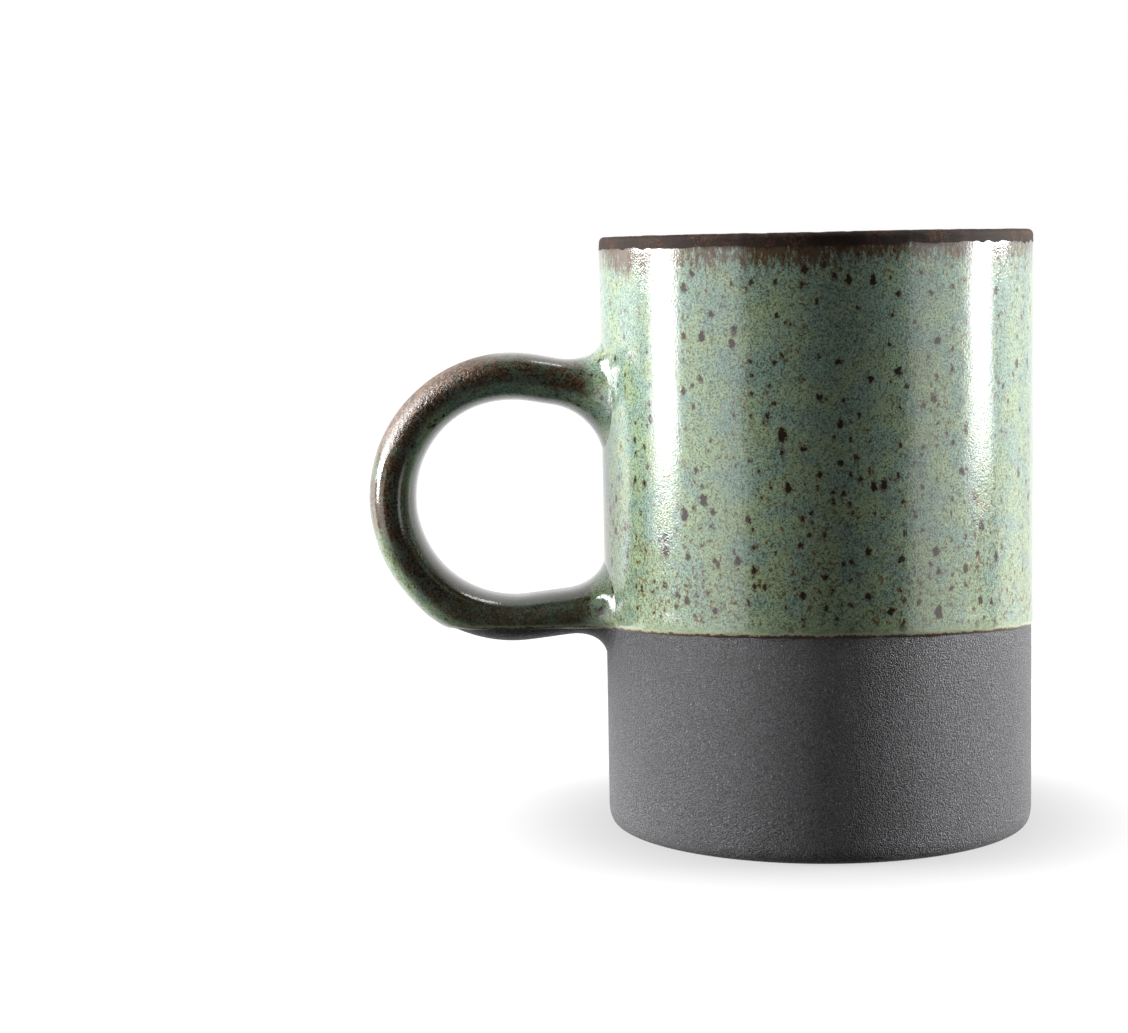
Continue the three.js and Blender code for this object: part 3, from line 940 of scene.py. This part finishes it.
def make_floor():
    """A wide pale floor that turns into the white of the studio away from the mug."""
    half = 6000
    outline = [(-half, -half, 0), (half, -half, 0), (half, half, 0), (-half, half, 0)]
    floor = mesh_object("studio_floor", np.array(outline, float), [(0, 1, 2, 3)])
    tree = MaterialTree("pale_floor")
    tint = tree.noise(tree.place, 60.0).outputs[0]
    tree.put(tree.shader.inputs["Base Color"], tree.mix(tint, *FLOOR_TINTS))
    tree.shader.inputs["Roughness"].default_value = 0.9
    tree.shader.inputs["Specular IOR Level"].default_value = 0.1
    tree.shader.inputs["Emission Color"].default_value = (1.0, 1.0, 1.0, 1.0)
    # Its own glow grows with the distance from the mug, which leaves a soft shade round the foot.
    distance = tree.length(tree.place)
    glow = tree.math("MULTIPLY_ADD", tree.step(distance, 34.0, 70.0), 0.32, 0.60)
    glow = tree.math("MULTIPLY_ADD", tree.step(distance, 60.0, 400.0), 0.10, glow)
    tree.put(tree.shader.inputs["Emission Strength"], glow)
    floor.data.materials.append(tree.material)
    floor.visible_glossy = False
    floor.visible_diffuse = False


# The room's brightness by azimuth in degrees, 0 towards the camera and positive to the right: the share of
# the side panels' strength, and the share of the back wall's.
ROOM_STOPS = [(-180, 0.0, 1.0), (-140, 0.0, 1.0), (-126, 0.95, 0.5), (-114, 1.1, 0.3), (-110, 0.4, 0.0),
              (-102, 0.4, 0.0), (-78, 1.0, 0.0), (-46, 1.0, 0.0), (-41, 0.0, 0.0), (42, 0.0, 0.0),
              (47, 0.9, 0.0), (76, 1.0, 0.0), (99, 0.4, 0.0), (103, 0.4, 0.0), (105, 0.85, 0.3),
              (122, 0.6, 0.5), (137, 0.0, 1.0), (180, 0.0, 1.0)]
SIDE_STRENGTH = 2.3
BACK_STRENGTH = 1.1
ROOM_AMBIENT = 0.08
CEILING_EXTRA = 0.10


def fade(tree, value, low, high):
    """0 at low and 1 at high, straight between them; low may be the larger."""
    share = tree.math("DIVIDE", tree.math("SUBTRACT", value, low), high - low)
    return tree.math("MINIMUM", tree.math("MAXIMUM", share, 0.0), 1.0)


def room_brightness(tree):
    """White panels to both sides and behind, and a dark room in front and above."""
    direction = tree.nodes.new("ShaderNodeTexCoord")
    split = tree.nodes.new("ShaderNodeSeparateXYZ")
    tree.put(split.inputs[0], direction.outputs["Generated"])
    towards_camera = tree.math("MULTIPLY", split.outputs["Y"], -1.0)
    azimuth = tree.math("ARCTAN2", split.outputs["X"], towards_camera)
    ramp = tree.nodes.new("ShaderNodeValToRGB")
    tree.put(ramp.inputs[0], tree.math("MULTIPLY_ADD", azimuth, 1 / (2 * math.pi), 0.5))
    elements = ramp.color_ramp.elements
    while len(elements) < len(ROOM_STOPS):
        elements.new(0.5)
    for element, (turn, side, back) in zip(elements, ROOM_STOPS):
        element.position = turn / 360 + 0.5
        element.color = (side, back, 0.0, 1.0)
    shares = tree.nodes.new("ShaderNodeSeparateColor")
    tree.put(shares.inputs[0], ramp.outputs[0])
    rise = split.outputs["Z"]
    side = tree.times(shares.outputs[0], SIDE_STRENGTH, fade(tree, rise, 0.16, 0.04))
    side = tree.times(side, fade(tree, rise, -0.40, -0.24))
    back = tree.times(shares.outputs[1], BACK_STRENGTH, fade(tree, rise, 0.95, 0.85))
    back = tree.times(back, fade(tree, rise, -0.95, -0.75))
    room = tree.math("MULTIPLY_ADD", fade(tree, rise, 0.85, 0.95), CEILING_EXTRA, ROOM_AMBIENT)
    return tree.math("ADD", tree.math("ADD", side, back), room)


def make_world():
    """The room lights the mug and shows in its gloss, and the camera sees plain white behind everything."""
    world = bpy.data.worlds.new("studio")
    bpy.context.scene.world = world
    world.use_nodes = True
    tree = NodeTree(world.node_tree)
    lit = tree.nodes.new("ShaderNodeBackground")
    tree.put(lit.inputs["Strength"], room_brightness(tree))
    lit.inputs["Color"].default_value = (1.0, 1.0, 1.0, 1.0)
    seen = tree.nodes.new("ShaderNodeBackground")
    seen.inputs["Color"].default_value = (1.0, 1.0, 1.0, 1.0)
    path = tree.nodes.new("ShaderNodeLightPath")
    mixed = tree.nodes.new("ShaderNodeMixShader")
    tree.put(mixed.inputs[0], path.outputs["Is Camera Ray"])
    tree.put(mixed.inputs[1], lit.outputs[0])
    tree.put(mixed.inputs[2], seen.outputs[0])
    output = tree.nodes.new("ShaderNodeOutputWorld")
    tree.put(output.inputs[0], mixed.outputs[0])


def make_lamp(name, width, height, radiance, place, towards):
    """A white area light of a width and height in metres, at a place, facing a direction."""
    light = bpy.data.lights.new(name, "AREA")
    light.shape = "RECTANGLE"
    light.size = width
    light.size_y = height
    light.energy = radiance * math.pi * width * height
    lamp = bpy.data.objects.new(name, light)
    lamp.location = place
    lamp.rotation_euler = towards.to_track_quat("-Z", "Y").to_euler()
    lamp.visible_camera = False
    bpy.context.scene.collection.objects.link(lamp)


# Upright softboxes facing the mug: azimuth in degrees as in ROOM_STOPS, distance, width, bottom and top in
# metres, and radiance. The cores and rims draw the two bright stripes, and the boxes light the flanks.
SOFTBOXES = {
    "left_core": (-88.9, 0.6, 0.130, 0.018, 0.12, 20),
    "left_rim": (-89.8, 0.61, 0.225, 0.0, 0.12, 6),
    "left_box": (-97, 0.65, 0.35, 0.12, 0.60, 32),
    "right_core": (86.5, 0.6, 0.125, 0.035, 0.12, 14),
    "right_rim": (86.3, 0.61, 0.220, 0.010, 0.12, 6),
    "right_box": (97, 0.65, 0.35, 0.12, 0.60, 32),
}


def make_softboxes():
    """Hangs every softbox of the list at its azimuth and distance, facing the mug's axis."""
    for name, (azimuth, distance, width, bottom, top, radiance) in SOFTBOXES.items():
        angle = math.radians(azimuth)
        place = Vector((distance * math.sin(angle), -distance * math.cos(angle), (bottom + top) / 2))
        make_lamp(name, width, top - bottom, radiance, place, Vector((-place.x, -place.y, 0)))


def make_back_light():
    """A small softbox high behind the mug, which draws a thin bright line along the top of the handle."""
    place = Vector((0.20, 0.45, 0.75))
    aim = Vector((0, 0, 0.08))
    radiance = 6
    make_lamp("back_light", 0.30, 0.12, radiance, place, aim - place)


CAMERA_PLACE = (-0.0465, -0.4592, 0.1067)
CAMERA_YAW = -0.002
CAMERA_PITCH = 0.106
CAMERA_ROLL = -0.019
CAMERA_LENS = 78.4


def make_camera():
    """Just below the level of the lip, looking a little down and square to the handle."""
    level = Vector((math.sin(CAMERA_YAW), math.cos(CAMERA_YAW), 0))
    forward = math.cos(CAMERA_PITCH) * level - Vector((0, 0, math.sin(CAMERA_PITCH)))
    right = Vector((math.cos(CAMERA_YAW), -math.sin(CAMERA_YAW), 0))
    up = right.cross(forward)
    turned_right = math.cos(CAMERA_ROLL) * right + math.sin(CAMERA_ROLL) * up
    turned_up = math.cos(CAMERA_ROLL) * up - math.sin(CAMERA_ROLL) * right
    data = bpy.data.cameras.new("camera")
    data.sensor_width = 36
    data.lens = CAMERA_LENS
    camera = bpy.data.objects.new("camera", data)
    axes = Matrix((turned_right, turned_up, -forward)).transposed().to_4x4()
    camera.matrix_world = Matrix.Translation(CAMERA_PLACE) @ axes
    bpy.context.scene.collection.objects.link(camera)
    bpy.context.scene.camera = camera


make_floor()
make_world()
make_softboxes()
make_back_light()
make_camera()
bpy.context.scene.view_settings.view_transform = "Standard"
